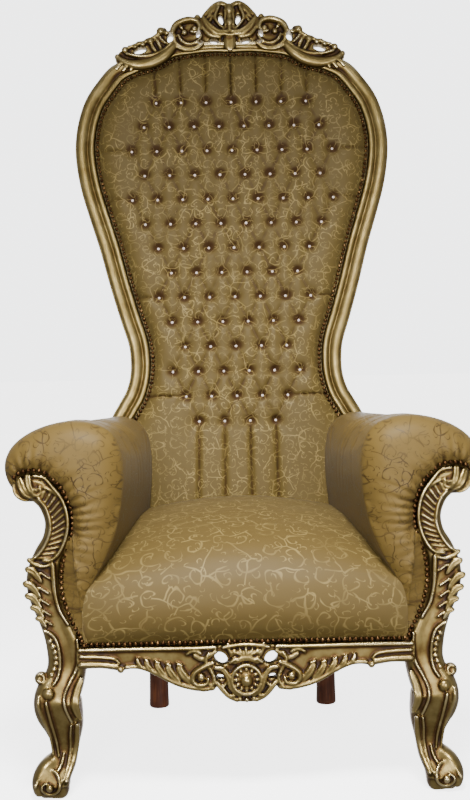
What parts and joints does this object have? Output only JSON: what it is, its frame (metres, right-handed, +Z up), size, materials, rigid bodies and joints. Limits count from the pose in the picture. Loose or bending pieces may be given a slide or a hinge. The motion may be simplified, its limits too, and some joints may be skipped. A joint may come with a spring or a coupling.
{
  "type": "upholstered throne",
  "caption": "Tall throne with a carved gilt frame, pierced cresting, deep-buttoned pear-shaped back, rolled arms, domed seat and scroll-foot front legs.",
  "frame": {"origin": "on the floor under the middle of the throne's outline", "axes": "+Z up, the sitter faces -Y, +X to the right of someone who looks at the throne from the front"},
  "size_m": [0.956, 0.7954, 1.7775],
  "materials": {
    "gilding": "gold leaf over carved beech, burnished on the high places and toned brown in the hollows",
    "satin": "gold jacquard satin with a woven scroll",
    "stained_wood": "dark red-brown stain, satin varnish",
    "dust_cloth": "plain black cloth",
    "nails": "antiqued brass upholstery nails",
    "crystal": "clear faceted glass in a bright metal cup"
  },
  "bodies": {
    "root": {"front_post_right": "gilding", "front_post_left": "gilding", "apron": "gilding", "side_rail_right": "gilding", "side_rail_left": "gilding", "rear_rail": "gilding", "back_stile_right": "gilding", "back_stile_left": "gilding", "back_crest": "gilding", "rear_leg_right": "stained_wood", "rear_leg_left": "stained_wood", "seat_webbing": "dust_cloth", "seat": "satin", "arm_right": "satin", "arm_left": "satin", "back_pad": "satin", "outside_back": "satin"}
  },
  "joints": []
}
